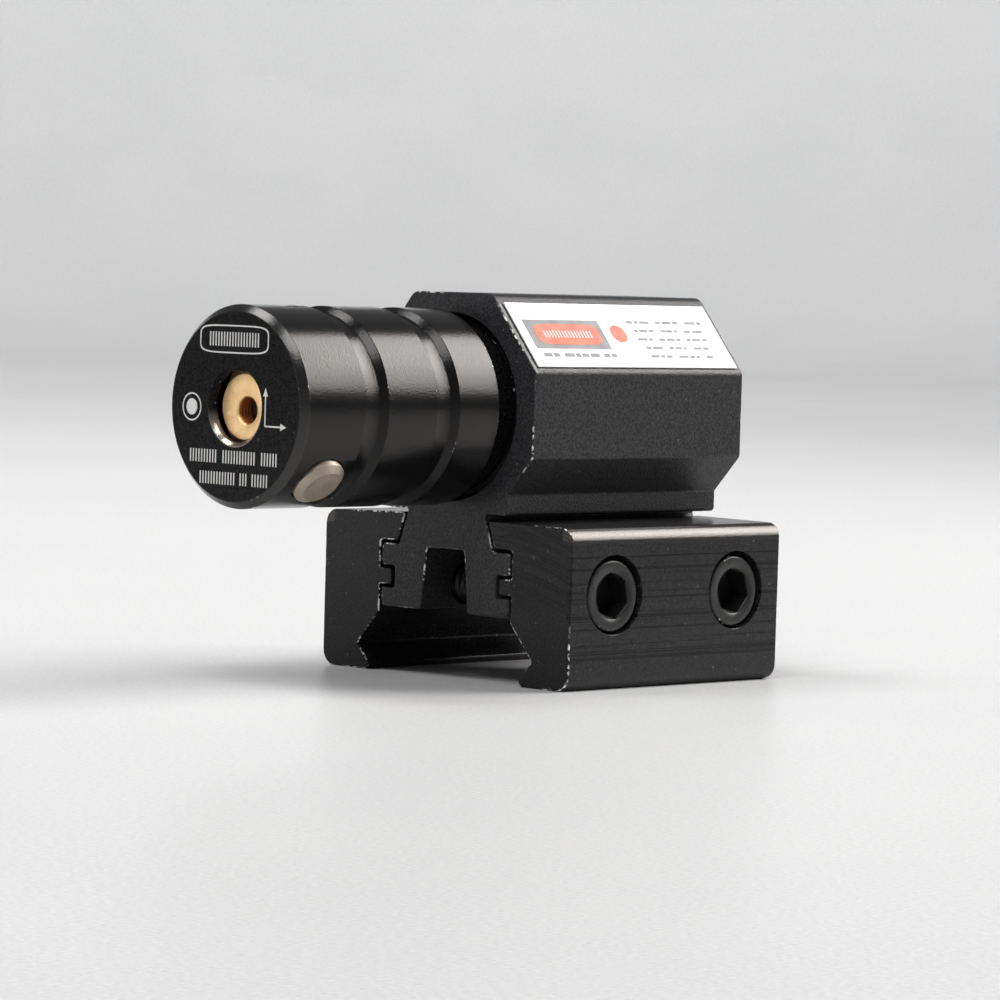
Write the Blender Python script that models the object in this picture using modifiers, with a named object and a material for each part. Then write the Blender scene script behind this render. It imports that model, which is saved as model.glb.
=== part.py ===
"""Rail-mounted laser collimator: a red laser module in a turned barrel, an extruded
aluminium housing with its battery and tail switch, and two clamping jaws for a
dovetail rail.

Frame: metres, +Z up, the beam leaves along -Y, the screw heads are on +X.
The origin is under the middle of the bounding box, level with the jaws' undersides.
Stations along the axis are measured from the housing's front face.
"""
import math

import bmesh
import bpy
from mathutils import Matrix, Vector

MM = 0.001

# ---- driving dimensions, in millimetres ------------------------------------------
Y0 = -2.84                # world Y of the housing's front face
AXIS_Z = 25.0             # height of the optical axis
GAP = 0.3                 # air between neighbouring pieces

BARREL_R = 9.0
GROOVE_R = 8.42
NECK_R = 7.8
FACE = -26.32             # front face of the barrel
RIM_CHAMFER = 0.6
GROOVE_1 = (-18.97, -16.80, -16.22)   # step, foot of ramp, top of ramp
GROOVE_2 = (-10.18, -8.05, -7.47)
LAND_END = -2.45
SPIGOT_R = 8.3
SPIGOT_END = 5.5
BARREL_BORE_R = 6.0
WINDOW_R = 3.18
WINDOW_DEPTH = 0.82

ADJUST_Y = -20.6          # station of the two adjusting screws
ADJUST_SCREW_R = 1.15
ADJUST_SOCKET_R = 0.72    # across-corner radius
ADJUST_SOCKET_DEPTH = 1.3
ADJUST_TOP = 8.2          # the screws' and pads' ends, from the optical axis
ADJUST_FOOT = 6.2
PAD_TOP = 5.9
PAD_FOOT = 4.8
HOLE_FOOT = 4.0
ELEVATION_TURN = 0.0      # where each sits round the barrel, from straight up toward +X
WINDAGE_TURN = -math.pi / 2.0
PLUNGER_Y = -22.0         # station of the spring plunger
PLUNGER_R = 2.55
PLUNGER_TOP = 9.62
PLUNGER_FLAT_R = 1.9
PLUNGER_TURN = math.radians(135.0)

MODULE_R = 4.5
MODULE_FRONT = -23.9
MODULE_REAR = -5.5
PIVOT_Y = -8.1
NOSE_R = 2.95
NOSE_FACE = -25.2
APERTURE_R = 1.09
APERTURE_SHIFT = (0.40, -0.32)
LENS_SEAT = -23.7
LENS_BORE_R = 2.3
DIODE_SEAT = -13.0

HOUSING_LENGTH = 28.0
BORE_FRONT_R = 8.6
BORE_CELL_R = 6.9
BORE_TAIL_R = 7.9
SEAL_R = 8.9
BARREL_SEAT_Y = 6.9       # stations of the steps in the housing's bore
TAIL_SEAT_Y = 24.4
SEAL_SEAT_Y = 27.0
TOP_Z = 35.5
TOP_HALF = 5.1
SIDE_HALF = 10.87
SIDE_TOP_Z = 28.6
SIDE_LOW_Z = 20.7
BODY_HALF = 7.8
BODY_Z = 17.3
UNDER_Z = 15.35

FOOT_HALF = 8.35
FOOT_Z = 6.1
SHELF_Z = 12.0
GROOVE_HALF = 6.65
GROOVE_TOP_Z = 9.95
GROOVE_LOW_Z = 7.85
CHANNEL_TOP_Z = 11.92

JAW_HALF = 16.12
JAW_TOP_Z = 14.72
JAW_FACE = FOOT_HALF + GAP
V_APEX = (11.45, 2.4)

SCREW_Y = (5.75, 22.05)
SCREW_Z = 8.5
SCREW_HEAD_R = 3.27
SCREW_SHANK_R = 1.8
COUNTERBORE_R = 3.58
COUNTERBORE_X = 12.1
HEX_R = 2.13              # across-corner radius of the screws' sockets
HEX_DEPTH = 2.28
HEX_SPIN = math.radians(12.0)
HEAD_X = 15.98            # outer face of the heads
THREAD_X = -14.7          # far end of the threads

CELL_R = 5.8
CELL_PITCH = 5.4
CAP_R = 8.6
CAP_END = 30.6
CAP_WEB_Y = 29.2          # inner face of the web that holds the button in
BUTTON_R = 3.4
LABEL_LIFT = 0.05         # air under the label's film

NAME = "laser_collimator"

MATERIALS = {
    "black_extrusion": ((0.030, 0.031, 0.034), 0.62, 0.6),
    "black_turned": ((0.036, 0.036, 0.040), 0.42, 0.7),
    "black_milled": ((0.034, 0.034, 0.037), 0.50, 0.6),
    "brass": ((0.72, 0.60, 0.38), 0.35, 1.0),
    "bare_steel": ((0.62, 0.58, 0.54), 0.38, 1.0),
    "blackened_steel": ((0.045, 0.045, 0.050), 0.40, 0.8),
    "spring_steel": ((0.50, 0.50, 0.50), 0.30, 1.0),
    "nylon": ((0.80, 0.78, 0.72), 0.55, 0.0),
    "black_rubber": ((0.02, 0.02, 0.02), 0.75, 0.0),
    "circuit_board": ((0.03, 0.16, 0.07), 0.45, 0.0),
    "lens_glass": ((0.75, 0.80, 0.85), 0.05, 0.0),
    "cell_case": ((0.66, 0.66, 0.64), 0.28, 1.0),
    "sleeve_plastic": ((0.75, 0.75, 0.73), 0.50, 0.0),
    "switch_plastic": ((0.05, 0.05, 0.05), 0.50, 0.0),
    "label_film": ((0.86, 0.86, 0.87), 0.30, 0.0),
}


# ---- helpers ---------------------------------------------------------------------
def clear_scene():
    for ob in list(bpy.data.objects):
        bpy.data.objects.remove(ob, do_unlink=True)


def new_collection(name):
    coll = bpy.data.collections.new(name)
    bpy.context.scene.collection.children.link(coll)
    return coll


def material(name, colour, roughness, metallic):
    mat = bpy.data.materials.new(name)
    mat.use_nodes = True
    bsdf = mat.node_tree.nodes["Principled BSDF"]
    bsdf.inputs["Base Color"].default_value = (*colour, 1.0)
    bsdf.inputs["Roughness"].default_value = roughness
    bsdf.inputs["Metallic"].default_value = metallic
    mat.diffuse_color = (*colour, 1.0)
    return mat


def add_object(name, mesh, coll, mat=None):
    ob = bpy.data.objects.new(name, mesh)
    coll.objects.link(ob)
    if mat is not None:
        mesh.materials.append(mat)
    return ob


def as_cutter(ob):
    ob.hide_render = True
    ob.display_type = "WIRE"
    return ob


def move_to(ob, coll):
    for holder in list(ob.users_collection):
        holder.objects.unlink(ob)
    coll.objects.link(ob)


def across(angle):
    """Unit direction across the barrel, at an angle from straight up toward +X."""
    return (math.sin(angle), 0.0, math.cos(angle))


def cut(ob, cutter):
    mod = ob.modifiers.new("cut_" + cutter.name, "BOOLEAN")
    mod.operation = "DIFFERENCE"
    mod.object = cutter
    mod.solver = "EXACT"


def turned(name, profile, coll, mat=None, steps=48, station=0.0, at=(0.0, AXIS_Z), turn=None):
    """Revolve a profile of (radius, height) points, in millimetres.

    The profile runs down its outer side. A profile that starts and ends off the axis
    is closed into a ring. With no turn the axis of revolution lies along +Y through
    (at x, at z), heights being stations; turn gives the angle about Y instead, which
    stands the axis across the barrel at the given station (0 points to +Z).
    """
    mesh = bpy.data.meshes.new(name)
    bm = bmesh.new()
    verts = [bm.verts.new((r * MM, 0.0, h * MM)) for r, h in profile]
    for a, b in zip(verts, verts[1:]):
        bm.edges.new((a, b))
    if profile[0][0] > 0.0:
        bm.edges.new((verts[-1], verts[0]))
    bm.to_mesh(mesh)
    bm.free()
    ob = add_object(name, mesh, coll, mat)
    mod = ob.modifiers.new("turn", "SCREW")
    mod.axis = "Z"
    mod.angle = 2.0 * math.pi
    mod.steps = steps
    mod.render_steps = steps
    mod.use_merge_vertices = True
    mod.merge_threshold = 0.00001
    mod.use_smooth_shade = True
    ob.location = (at[0] * MM, (Y0 + station) * MM, at[1] * MM)
    if turn is None:
        ob.rotation_euler = (-math.pi / 2.0, 0.0, 0.0)
    else:
        ob.rotation_euler = (0.0, turn, 0.0)
    return ob


def rounded_outline(corners, arc=3):
    """Closed outline from (x, z, radius) corners, each replaced by a short arc."""
    points = []
    count = len(corners)
    for i, (x, z, radius) in enumerate(corners):
        here = Vector((x, z))
        back = Vector(corners[i - 1][:2]) - here
        ahead = Vector(corners[(i + 1) % count][:2]) - here
        if radius <= 0.0:
            points.append((x, z))
            continue
        back.normalize()
        ahead.normalize()
        half = back.angle(ahead) / 2.0
        centre = here + (back + ahead).normalized() * (radius / math.sin(half))
        start = here + back * (radius / math.tan(half)) - centre
        end = here + ahead * (radius / math.tan(half)) - centre
        sweep = start.angle_signed(end)
        for k in range(arc + 1):
            angle = -sweep * k / arc
            c, s = math.cos(angle), math.sin(angle)
            spot = Vector((start.x * c - start.y * s, start.x * s + start.y * c))
            points.append((centre.x + spot.x, centre.y + spot.y))
    return points


def mirrored(corners):
    return [(-x, z, radius) for x, z, radius in reversed(corners)]


def extruded(name, points, y_front, y_rear, coll, mat=None, bevel=0.0):
    """Extrude an outline in X and Z between two stations."""
    curve = bpy.data.curves.new(name + "_outline", "CURVE")
    curve.dimensions = "2D"
    curve.fill_mode = "BOTH"
    curve.extrude = (y_rear - y_front) / 2.0 * MM
    spline = curve.splines.new("POLY")
    spline.points.add(len(points) - 1)
    for point, (x, z) in zip(spline.points, points):
        point.co = (x * MM, z * MM, 0.0, 1.0)
    spline.use_cyclic_u = True
    guide = bpy.data.objects.new(name + "_outline", curve)
    coll.objects.link(guide)
    guide.location = (0.0, (Y0 + (y_front + y_rear) / 2.0) * MM, 0.0)
    guide.rotation_euler = (math.pi / 2.0, 0.0, 0.0)
    bpy.context.view_layer.update()
    graph = bpy.context.evaluated_depsgraph_get()
    mesh = bpy.data.meshes.new_from_object(guide.evaluated_get(graph))
    matrix = guide.matrix_world.copy()
    bpy.data.objects.remove(guide, do_unlink=True)
    bm = bmesh.new()
    bm.from_mesh(mesh)
    bmesh.ops.remove_doubles(bm, verts=bm.verts, dist=0.000002)
    if bevel > 0.0:
        bmesh.ops.dissolve_limit(bm, angle_limit=0.002, verts=bm.verts, edges=bm.edges)
    bmesh.ops.recalc_face_normals(bm, faces=bm.faces)
    bm.to_mesh(mesh)
    bm.free()
    mesh.materials.clear()
    ob = add_object(name, mesh, coll, mat)
    ob.matrix_world = matrix
    if bevel > 0.0:
        mod = ob.modifiers.new("edges", "BEVEL")
        mod.width = bevel * MM
        mod.segments = 1
        mod.limit_method = "ANGLE"
        mod.angle_limit = math.radians(60.0)
    mesh.shade_smooth()
    mesh.set_sharp_from_angle(angle=math.radians(30.0))
    return ob


def rod_cutter(name, radius, start, length, axis, coll, vertices=32, spin=0.0):
    """Straight cylinder cutter from start (mm, world frame with stations on Y)."""
    bpy.ops.mesh.primitive_cylinder_add(vertices=vertices, radius=radius * MM, depth=length * MM)
    ob = bpy.context.active_object
    ob.name = name
    move_to(ob, coll)
    direction = Vector(axis).normalized()
    centre = Vector((start[0], Y0 + start[1], start[2])) + direction * length / 2.0
    ob.data.transform(Matrix.Rotation(spin, 4, "Z"))
    ob.matrix_world = Vector((0.0, 0.0, 1.0)).rotation_difference(direction).to_matrix().to_4x4()
    ob.location = centre * MM
    return as_cutter(ob)


def coil(name, coll, mat, y_from, y_to, radius_from, radius_to, turns, wire,
         station=0.0, turn=None):
    """Round-wire compression spring along the barrel's axis, or across it as in turned."""
    curve = bpy.data.curves.new(name, "CURVE")
    curve.dimensions = "3D"
    curve.bevel_depth = wire * MM
    curve.bevel_resolution = 2
    curve.use_fill_caps = True
    count = int(turns * 6) + 1
    spline = curve.splines.new("POLY")
    spline.points.add(count - 1)
    for i, point in enumerate(spline.points):
        share = i / (count - 1)
        angle = 2.0 * math.pi * turns * share
        radius = radius_from + (radius_to - radius_from) * share
        y = y_from + wire + (y_to - y_from - 2.0 * wire) * share
        x = radius * math.cos(angle)
        z = radius * math.sin(angle)
        point.co = (x * MM, y * MM, z * MM, 1.0)
    ob = bpy.data.objects.new(name, curve)
    coll.objects.link(ob)
    curve.materials.append(mat)
    ob.location = (0.0, (Y0 + station) * MM, AXIS_Z * MM)
    if turn is not None:
        ob.rotation_euler = (math.pi / 2.0, turn, 0.0)
    return ob


# ---- sub-parts -------------------------------------------------------------------
def make_housing(parts, cutters, mats):
    """One extruded section: the tube's body above, the rail foot below."""
    half = [
        (TOP_HALF, TOP_Z, 0.6),
        (SIDE_HALF, SIDE_TOP_Z, 0.5),
        (SIDE_HALF, SIDE_LOW_Z, 0.5),
        (BODY_HALF, BODY_Z, 0.4),
        (BODY_HALF, UNDER_Z, 0.35),
        (4.95, UNDER_Z + 0.06, 0.3),
        (6.15, SHELF_Z, 0.3),
        (FOOT_HALF, SHELF_Z, 0.35),
        (FOOT_HALF, GROOVE_TOP_Z, 0.15),
        (GROOVE_HALF, GROOVE_TOP_Z, 0.25),
        (GROOVE_HALF, GROOVE_LOW_Z, 0.25),
        (FOOT_HALF, GROOVE_LOW_Z, 0.15),
        (FOOT_HALF, FOOT_Z, 0.45),
        (3.05, FOOT_Z, 0.3),
        (2.45, CHANNEL_TOP_Z, 0.3),
    ]
    outline = rounded_outline(half + mirrored(half))
    housing = extruded("housing", outline, 0.0, HOUSING_LENGTH, parts, mats["black_extrusion"])
    past_rear = HOUSING_LENGTH + 2.0
    past_front = -1.0
    lead_in = 0.4
    bore = turned("housing_bore", [
        (0.0, past_rear), (SEAL_R, past_rear), (SEAL_R, SEAL_SEAT_Y), (BORE_TAIL_R, SEAL_SEAT_Y),
        (BORE_TAIL_R, TAIL_SEAT_Y), (BORE_CELL_R, TAIL_SEAT_Y), (BORE_CELL_R, BARREL_SEAT_Y),
        (BORE_FRONT_R, BARREL_SEAT_Y), (BORE_FRONT_R, 0.25), (BORE_FRONT_R + lead_in, -0.15),
        (BORE_FRONT_R + lead_in, past_front), (0.0, past_front)], cutters, steps=40)
    cut(housing, as_cutter(bore))
    for tag, y in zip(("front", "rear"), SCREW_Y):
        hole = rod_cutter("foot_hole_" + tag, SCREW_SHANK_R + GAP, (-9.5, y, SCREW_Z), 19.0,
                          (1, 0, 0), cutters, vertices=20)
        cut(housing, hole)


def make_front_barrel(parts, cutters, mats):
    """Three lands and two grooves, each groove with a ramp in front of a square step."""
    edge = 0.15
    barrel = turned("front_barrel", [
        (SPIGOT_R, SPIGOT_END), (SPIGOT_R, 0.9), (NECK_R, 0.7), (NECK_R, LAND_END),
        (BARREL_R - edge, LAND_END), (BARREL_R, LAND_END - edge),
        (BARREL_R, GROOVE_2[2]), (GROOVE_R, GROOVE_2[1]), (GROOVE_R, GROOVE_2[0]),
        (BARREL_R, GROOVE_2[0]),
        (BARREL_R, GROOVE_1[2]), (GROOVE_R, GROOVE_1[1]), (GROOVE_R, GROOVE_1[0]),
        (BARREL_R, GROOVE_1[0]),
        (BARREL_R, FACE + RIM_CHAMFER), (BARREL_R - RIM_CHAMFER, FACE),
        (WINDOW_R + 0.2, FACE), (WINDOW_R, FACE + 0.2), (WINDOW_R, FACE + WINDOW_DEPTH),
        (BARREL_BORE_R, FACE + WINDOW_DEPTH), (BARREL_BORE_R, SPIGOT_END)],
        parts, mats["black_turned"], steps=44)
    for name, radius, station, angle in (
            ("elevation_hole", ADJUST_SCREW_R + GAP, ADJUST_Y, ELEVATION_TURN),
            ("windage_hole", ADJUST_SCREW_R + GAP, ADJUST_Y, WINDAGE_TURN),
            ("plunger_hole", PLUNGER_R + GAP, PLUNGER_Y, PLUNGER_TURN)):
        out = across(angle)
        start = (out[0] * HOLE_FOOT, station, AXIS_Z + out[2] * HOLE_FOOT)
        cut(barrel, rod_cutter(name, radius, start, 7.0, out, cutters, vertices=24))


def make_adjusters(parts, cutters, mats):
    """Two socket screws, each on a nylon pad that bears on the laser module."""
    edge = 0.15
    for tag, angle in (("elevation", ELEVATION_TURN), ("windage", WINDAGE_TURN)):
        turned(tag + "_pad", [
            (0.0, PAD_TOP), (ADJUST_SCREW_R, PAD_TOP), (ADJUST_SCREW_R, PAD_FOOT + 0.4),
            (0.8, PAD_FOOT), (0.0, PAD_FOOT)],
            parts, mats["nylon"], steps=16, station=ADJUST_Y, turn=angle)
        screw = turned(tag + "_screw", [
            (0.0, ADJUST_TOP), (ADJUST_SCREW_R - edge, ADJUST_TOP),
            (ADJUST_SCREW_R, ADJUST_TOP - edge), (ADJUST_SCREW_R, ADJUST_FOOT + edge),
            (ADJUST_SCREW_R - edge, ADJUST_FOOT), (0.0, ADJUST_FOOT)],
            parts, mats["blackened_steel"], steps=20, station=ADJUST_Y, turn=angle)
        out = across(angle)
        floor = ADJUST_TOP - ADJUST_SOCKET_DEPTH
        start = (out[0] * floor, ADJUST_Y, AXIS_Z + out[2] * floor)
        cut(screw, rod_cutter(tag + "_socket", ADJUST_SOCKET_R, start, 3.0, out, cutters,
                              vertices=6))


def make_plunger(parts, mats):
    """Plug, coil spring and pin that push the module against both screws."""
    turned("plunger_plug", [
        (0.0, PLUNGER_TOP), (PLUNGER_FLAT_R, PLUNGER_TOP), (PLUNGER_R, PLUNGER_TOP - 0.45),
        (PLUNGER_R, 6.3), (2.0, 6.3), (2.0, 8.6), (0.0, 8.6)],
        parts, mats["bare_steel"], steps=32, station=PLUNGER_Y, turn=PLUNGER_TURN)
    turned("plunger_pin", [
        (0.0, 6.6), (1.65, 6.6), (1.65, 6.2), (1.1, 6.2), (1.1, 5.4), (0.7, 5.0), (0.0, 5.0)],
        parts, mats["bare_steel"], steps=16, station=PLUNGER_Y, turn=PLUNGER_TURN)
    coil("plunger_spring", parts, mats["spring_steel"], 6.9, 8.4, 1.55, 1.55, 2.5, 0.15,
         station=PLUNGER_Y, turn=PLUNGER_TURN)


def make_laser_module(parts, cutters, mats):
    """Brass module with its lens holder, lens, spring, diode and driver board."""
    brass = mats["brass"]
    steel = mats["bare_steel"]
    ring_half = 1.5
    turned("pivot_ring", [
        (5.7, PIVOT_Y + ring_half), (5.7, PIVOT_Y - ring_half),
        (MODULE_R + 0.35, PIVOT_Y - ring_half), (MODULE_R + 0.35, PIVOT_Y + ring_half)],
        parts, mats["nylon"], steps=28)
    turned("module_body", [
        (MODULE_R, MODULE_REAR), (MODULE_R, MODULE_FRONT + 0.3), (MODULE_R - 0.3, MODULE_FRONT),
        (NOSE_R + GAP, MODULE_FRONT), (NOSE_R + GAP, DIODE_SEAT), (2.45, DIODE_SEAT),
        (2.45, MODULE_REAR)], parts, brass, steps=28)
    holder = turned("lens_holder", [
        (NOSE_R, -18.0), (NOSE_R, NOSE_FACE + 0.12), (NOSE_R - 0.12, NOSE_FACE),
        (0.4, NOSE_FACE), (0.4, LENS_SEAT), (LENS_BORE_R, LENS_SEAT), (LENS_BORE_R, -18.0)],
        parts, brass, steps=28)
    start = (APERTURE_SHIFT[0], NOSE_FACE - 1.0, AXIS_Z + APERTURE_SHIFT[1])
    cut(holder, rod_cutter("aperture", APERTURE_R, start, 3.0, (0, 1, 0), cutters, vertices=24))
    turned("collimating_lens", [
        (0.0, -21.7), (1.9, -21.7), (1.9, -22.9), (1.3, -23.2), (0.65, -23.35), (0.0, -23.4)],
        parts, mats["lens_glass"], steps=20)
    turned("laser_diode", [
        (0.0, -12.6), (1.2, -12.6), (1.2, DIODE_SEAT - GAP), (2.9, DIODE_SEAT - GAP),
        (2.9, -14.3), (1.35, -14.3), (1.35, -16.6), (0.0, -16.6)], parts, steel, steps=16)
    coil("lens_spring", parts, mats["spring_steel"], -21.4, -14.6, 1.85, 1.85, 4.5, 0.15)

    bpy.ops.mesh.primitive_cube_add(size=1.0)
    board = bpy.context.active_object
    board.name = "driver_board"
    board.data.name = board.name
    move_to(board, parts)
    board.data.materials.append(mats["circuit_board"])
    board.location = (0.0, (Y0 - 8.2) * MM, AXIS_Z * MM)
    board.scale = (4.2 * MM, 8.0 * MM, 0.8 * MM)


def make_battery(parts, mats):
    """Three button cells in a sleeve, between two contact springs."""
    first = 7.5
    cell = 5.1
    coil("front_contact_spring", parts, mats["spring_steel"], -3.8, first - 0.5, 1.4, 3.4, 4.5,
         0.25)
    turned("battery_sleeve", [(6.6, 24.1), (6.6, 7.2), (6.1, 7.2), (6.1, 24.1)],
           parts, mats["sleeve_plastic"], steps=28)
    for i in range(3):
        y = first + CELL_PITCH * i
        turned("button_cell_%d" % (i + 1), [
            (0.0, y + cell), (CELL_R - 0.9, y + cell), (CELL_R - 0.9, y + cell - 0.3),
            (CELL_R - 0.3, y + cell - 0.4), (CELL_R, y + cell - 0.8), (CELL_R, y + 0.25),
            (CELL_R - 0.25, y), (0.0, y)], parts, mats["cell_case"], steps=24)
    coil("battery_spring", parts, mats["spring_steel"], 23.7, 25.1, 4.0, 2.0, 2.0, 0.22)


def make_tail(parts, mats):
    """Screw-in cap with its seal, switch, button and the button's spring."""
    skirt = BORE_TAIL_R - GAP
    turned("tail_cap", [
        (CAP_R - 0.4, CAP_END), (CAP_R, CAP_END - 0.4), (CAP_R, 28.7), (CAP_R - 0.3, 28.4),
        (7.3, 28.4), (7.3, 27.3), (skirt, 27.2), (skirt, 24.9), (skirt - 0.2, 24.7),
        (5.9, 24.7), (5.9, CAP_WEB_Y), (BUTTON_R + GAP, CAP_WEB_Y), (BUTTON_R + GAP, CAP_END)],
        parts, mats["black_turned"], steps=36)
    ring_r = 0.35
    sides = 6
    ring = []
    for k in range(sides):
        angle = math.pi / 2.0 - 2.0 * math.pi * k / sides
        ring.append((8.0 + ring_r * math.cos(angle), 27.75 + ring_r * math.sin(angle)))
    turned("tail_cap_o_ring", ring, parts, mats["black_rubber"], steps=28)
    turned("switch_body", [
        (0.0, 26.9), (5.1, 26.9), (5.3, 26.7), (5.3, 25.4), (0.0, 25.4)],
        parts, mats["switch_plastic"], steps=28)
    coil("button_spring", parts, mats["spring_steel"], 27.2, 27.8, 4.0, 4.0, 1.5, 0.12)
    turned("push_button", [
        (0.0, 32.0), (BUTTON_R - 1.0, 31.9), (BUTTON_R - 0.25, 31.5), (BUTTON_R, 31.0),
        (BUTTON_R, CAP_WEB_Y - GAP), (5.2, CAP_WEB_Y - GAP), (5.2, 28.1), (0.0, 28.1)],
        parts, mats["black_rubber"], steps=28)


def make_jaws(parts, cutters, mats):
    """Each jaw hooks over the foot, has a rib in its groove and half the rail's V."""
    half = [
        (5.45, JAW_TOP_Z + 0.1, 0.15),
        (JAW_HALF + 0.05, JAW_TOP_Z, 1.35),
        (JAW_HALF, 0.0, 1.5),
        (10.25, 0.0, 0.3),
        (9.72, 0.55, 0.25),
        (V_APEX[0], V_APEX[1], 0.15),
        (JAW_FACE, 5.6, 0.15),
        (JAW_FACE, GROOVE_LOW_Z + GAP, 0.1),
        (7.1, GROOVE_LOW_Z + GAP, 0.25),
        (7.1, GROOVE_TOP_Z - GAP, 0.25),
        (JAW_FACE, GROOVE_TOP_Z - GAP, 0.1),
        (JAW_FACE, SHELF_Z + GAP, 0.3),
        (6.36, SHELF_Z + GAP, 0.3),
    ]
    for name, corners in (("right_jaw", half), ("left_jaw", mirrored(half))):
        jaw = extruded(name, rounded_outline(corners), 0.0, HOUSING_LENGTH, parts,
                       mats["black_milled"], bevel=0.22)
        for tag, y in zip(("front", "rear"), SCREW_Y):
            hole_r = SCREW_SHANK_R + GAP
            if name == "left_jaw":
                cut(jaw, rod_cutter("tapped_" + tag, hole_r, (-18.0, y, SCREW_Z), 13.0,
                                    (1, 0, 0), cutters, vertices=20))
                continue
            cut(jaw, rod_cutter("counterbore_" + tag, COUNTERBORE_R, (COUNTERBORE_X, y, SCREW_Z),
                                6.0, (1, 0, 0), cutters, vertices=24))
            cut(jaw, rod_cutter("clearance_" + tag, hole_r, (5.0, y, SCREW_Z), 8.0, (1, 0, 0),
                                cutters, vertices=20))


def make_clamp_screws(parts, cutters, mats):
    """Heads in the right jaw, thread ends in the left jaw."""
    head_in = COUNTERBORE_X + GAP
    for tag, y in zip(("front", "rear"), SCREW_Y):
        screw = turned(tag + "_clamp_screw", [
            (0.0, HEAD_X), (SCREW_HEAD_R - 0.25, HEAD_X), (SCREW_HEAD_R, HEAD_X - 0.25),
            (SCREW_HEAD_R, head_in), (SCREW_SHANK_R, head_in), (SCREW_SHANK_R, THREAD_X + 0.4),
            (SCREW_SHANK_R - 0.4, THREAD_X), (0.0, THREAD_X)],
            parts, mats["blackened_steel"], steps=28, station=y, at=(0.0, SCREW_Z),
            turn=math.pi / 2.0)
        cut(screw, rod_cutter(tag + "_socket", HEX_R, (HEAD_X - HEX_DEPTH, y, SCREW_Z), 4.0,
                              (1, 0, 0), cutters, vertices=6, spin=HEX_SPIN))


def make_label(parts, mats):
    """Film on the right upper chamfer, a strip down most of the slope."""
    slope = Vector((SIDE_HALF - TOP_HALF, SIDE_TOP_Z - TOP_Z))
    down = slope.normalized()
    out = Vector((-down.y, down.x))
    top = Vector((TOP_HALF, TOP_Z))
    lift, thick = LABEL_LIFT, 0.12
    strip = []
    for s, t in ((0.95, lift), (0.95, lift + thick), (8.3, lift + thick), (8.3, lift)):
        strip.append(tuple(top + down * s + out * t))
    extruded("label", strip, 0.7, 27.4, parts, mats["label_film"])


def build():
    clear_scene()
    parts = new_collection(NAME)
    cutters = new_collection("cutters")
    mats = {name: material(name, *finish) for name, finish in MATERIALS.items()}
    make_housing(parts, cutters, mats)
    make_front_barrel(parts, cutters, mats)
    make_adjusters(parts, cutters, mats)
    make_plunger(parts, mats)
    make_laser_module(parts, cutters, mats)
    make_battery(parts, mats)
    make_tail(parts, mats)
    make_jaws(parts, cutters, mats)
    make_clamp_screws(parts, cutters, mats)
    make_label(parts, mats)


build()
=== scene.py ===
"""Looks for the rail-mounted laser collimator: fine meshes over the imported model,
procedural materials, a pale studio and the camera.

Everything is in metres in the model's frame: +Z up, the beam leaves along -Y, the clamp
screws' heads are on +X. Lengths written as numbers are millimetres times MM.
"""
import math

import bmesh
import bpy
from mathutils import Matrix, Vector


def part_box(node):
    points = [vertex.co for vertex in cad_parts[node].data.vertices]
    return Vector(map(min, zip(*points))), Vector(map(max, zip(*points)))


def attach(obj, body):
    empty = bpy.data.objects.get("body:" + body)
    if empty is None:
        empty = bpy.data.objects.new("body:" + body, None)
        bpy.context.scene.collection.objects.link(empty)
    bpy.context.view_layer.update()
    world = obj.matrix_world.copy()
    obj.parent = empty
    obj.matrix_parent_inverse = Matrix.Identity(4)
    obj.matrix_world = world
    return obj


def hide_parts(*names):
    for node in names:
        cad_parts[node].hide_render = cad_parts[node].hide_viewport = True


MM = 0.001

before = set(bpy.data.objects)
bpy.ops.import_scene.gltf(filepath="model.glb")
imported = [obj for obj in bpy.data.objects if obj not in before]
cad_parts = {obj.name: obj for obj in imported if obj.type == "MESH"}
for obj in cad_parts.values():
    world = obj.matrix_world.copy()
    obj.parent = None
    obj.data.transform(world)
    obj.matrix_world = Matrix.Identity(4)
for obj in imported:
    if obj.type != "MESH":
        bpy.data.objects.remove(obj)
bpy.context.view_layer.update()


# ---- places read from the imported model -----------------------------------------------
BARREL_LOW, BARREL_HIGH = (Vector(c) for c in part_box("front_barrel"))
HOUSING_LOW, HOUSING_HIGH = (Vector(c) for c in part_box("housing"))
JAW_LOW, JAW_HIGH = (Vector(c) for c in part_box("right_jaw"))
AXIS_Z = (BARREL_LOW.z + BARREL_HIGH.z) / 2.0
FACE_Y = BARREL_LOW.y
FRONT_Y = HOUSING_LOW.y
REAR_Y = HOUSING_HIGH.y

# ---- measures shared by several pieces -----------------------------------------------
TOP_CORNER = (5.1, 35.5)        # ends of the slope that carries the label, in millimetres
SIDE_CORNER = (10.87, 28.6)
END_EDGE = 0.12 * MM            # rounding of the ends of the housing and jaws
CLAMP_HOLE = 2.1 * MM           # radius of the clamp screws' holes
THREAD_PITCH = 0.7 * MM         # of the clamp screws
FILM = 0.012 * MM               # thickness of printed marks
CLAMP_SCREWS = ("front_clamp_screw", "rear_clamp_screw")
ADJUSTERS = (("elevation", Vector((0, 0, 1))), ("windage", Vector((-1, 0, 0))))


def middle(node):
    low, high = (Vector(c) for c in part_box(node))
    return (low + high) / 2.0


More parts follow.
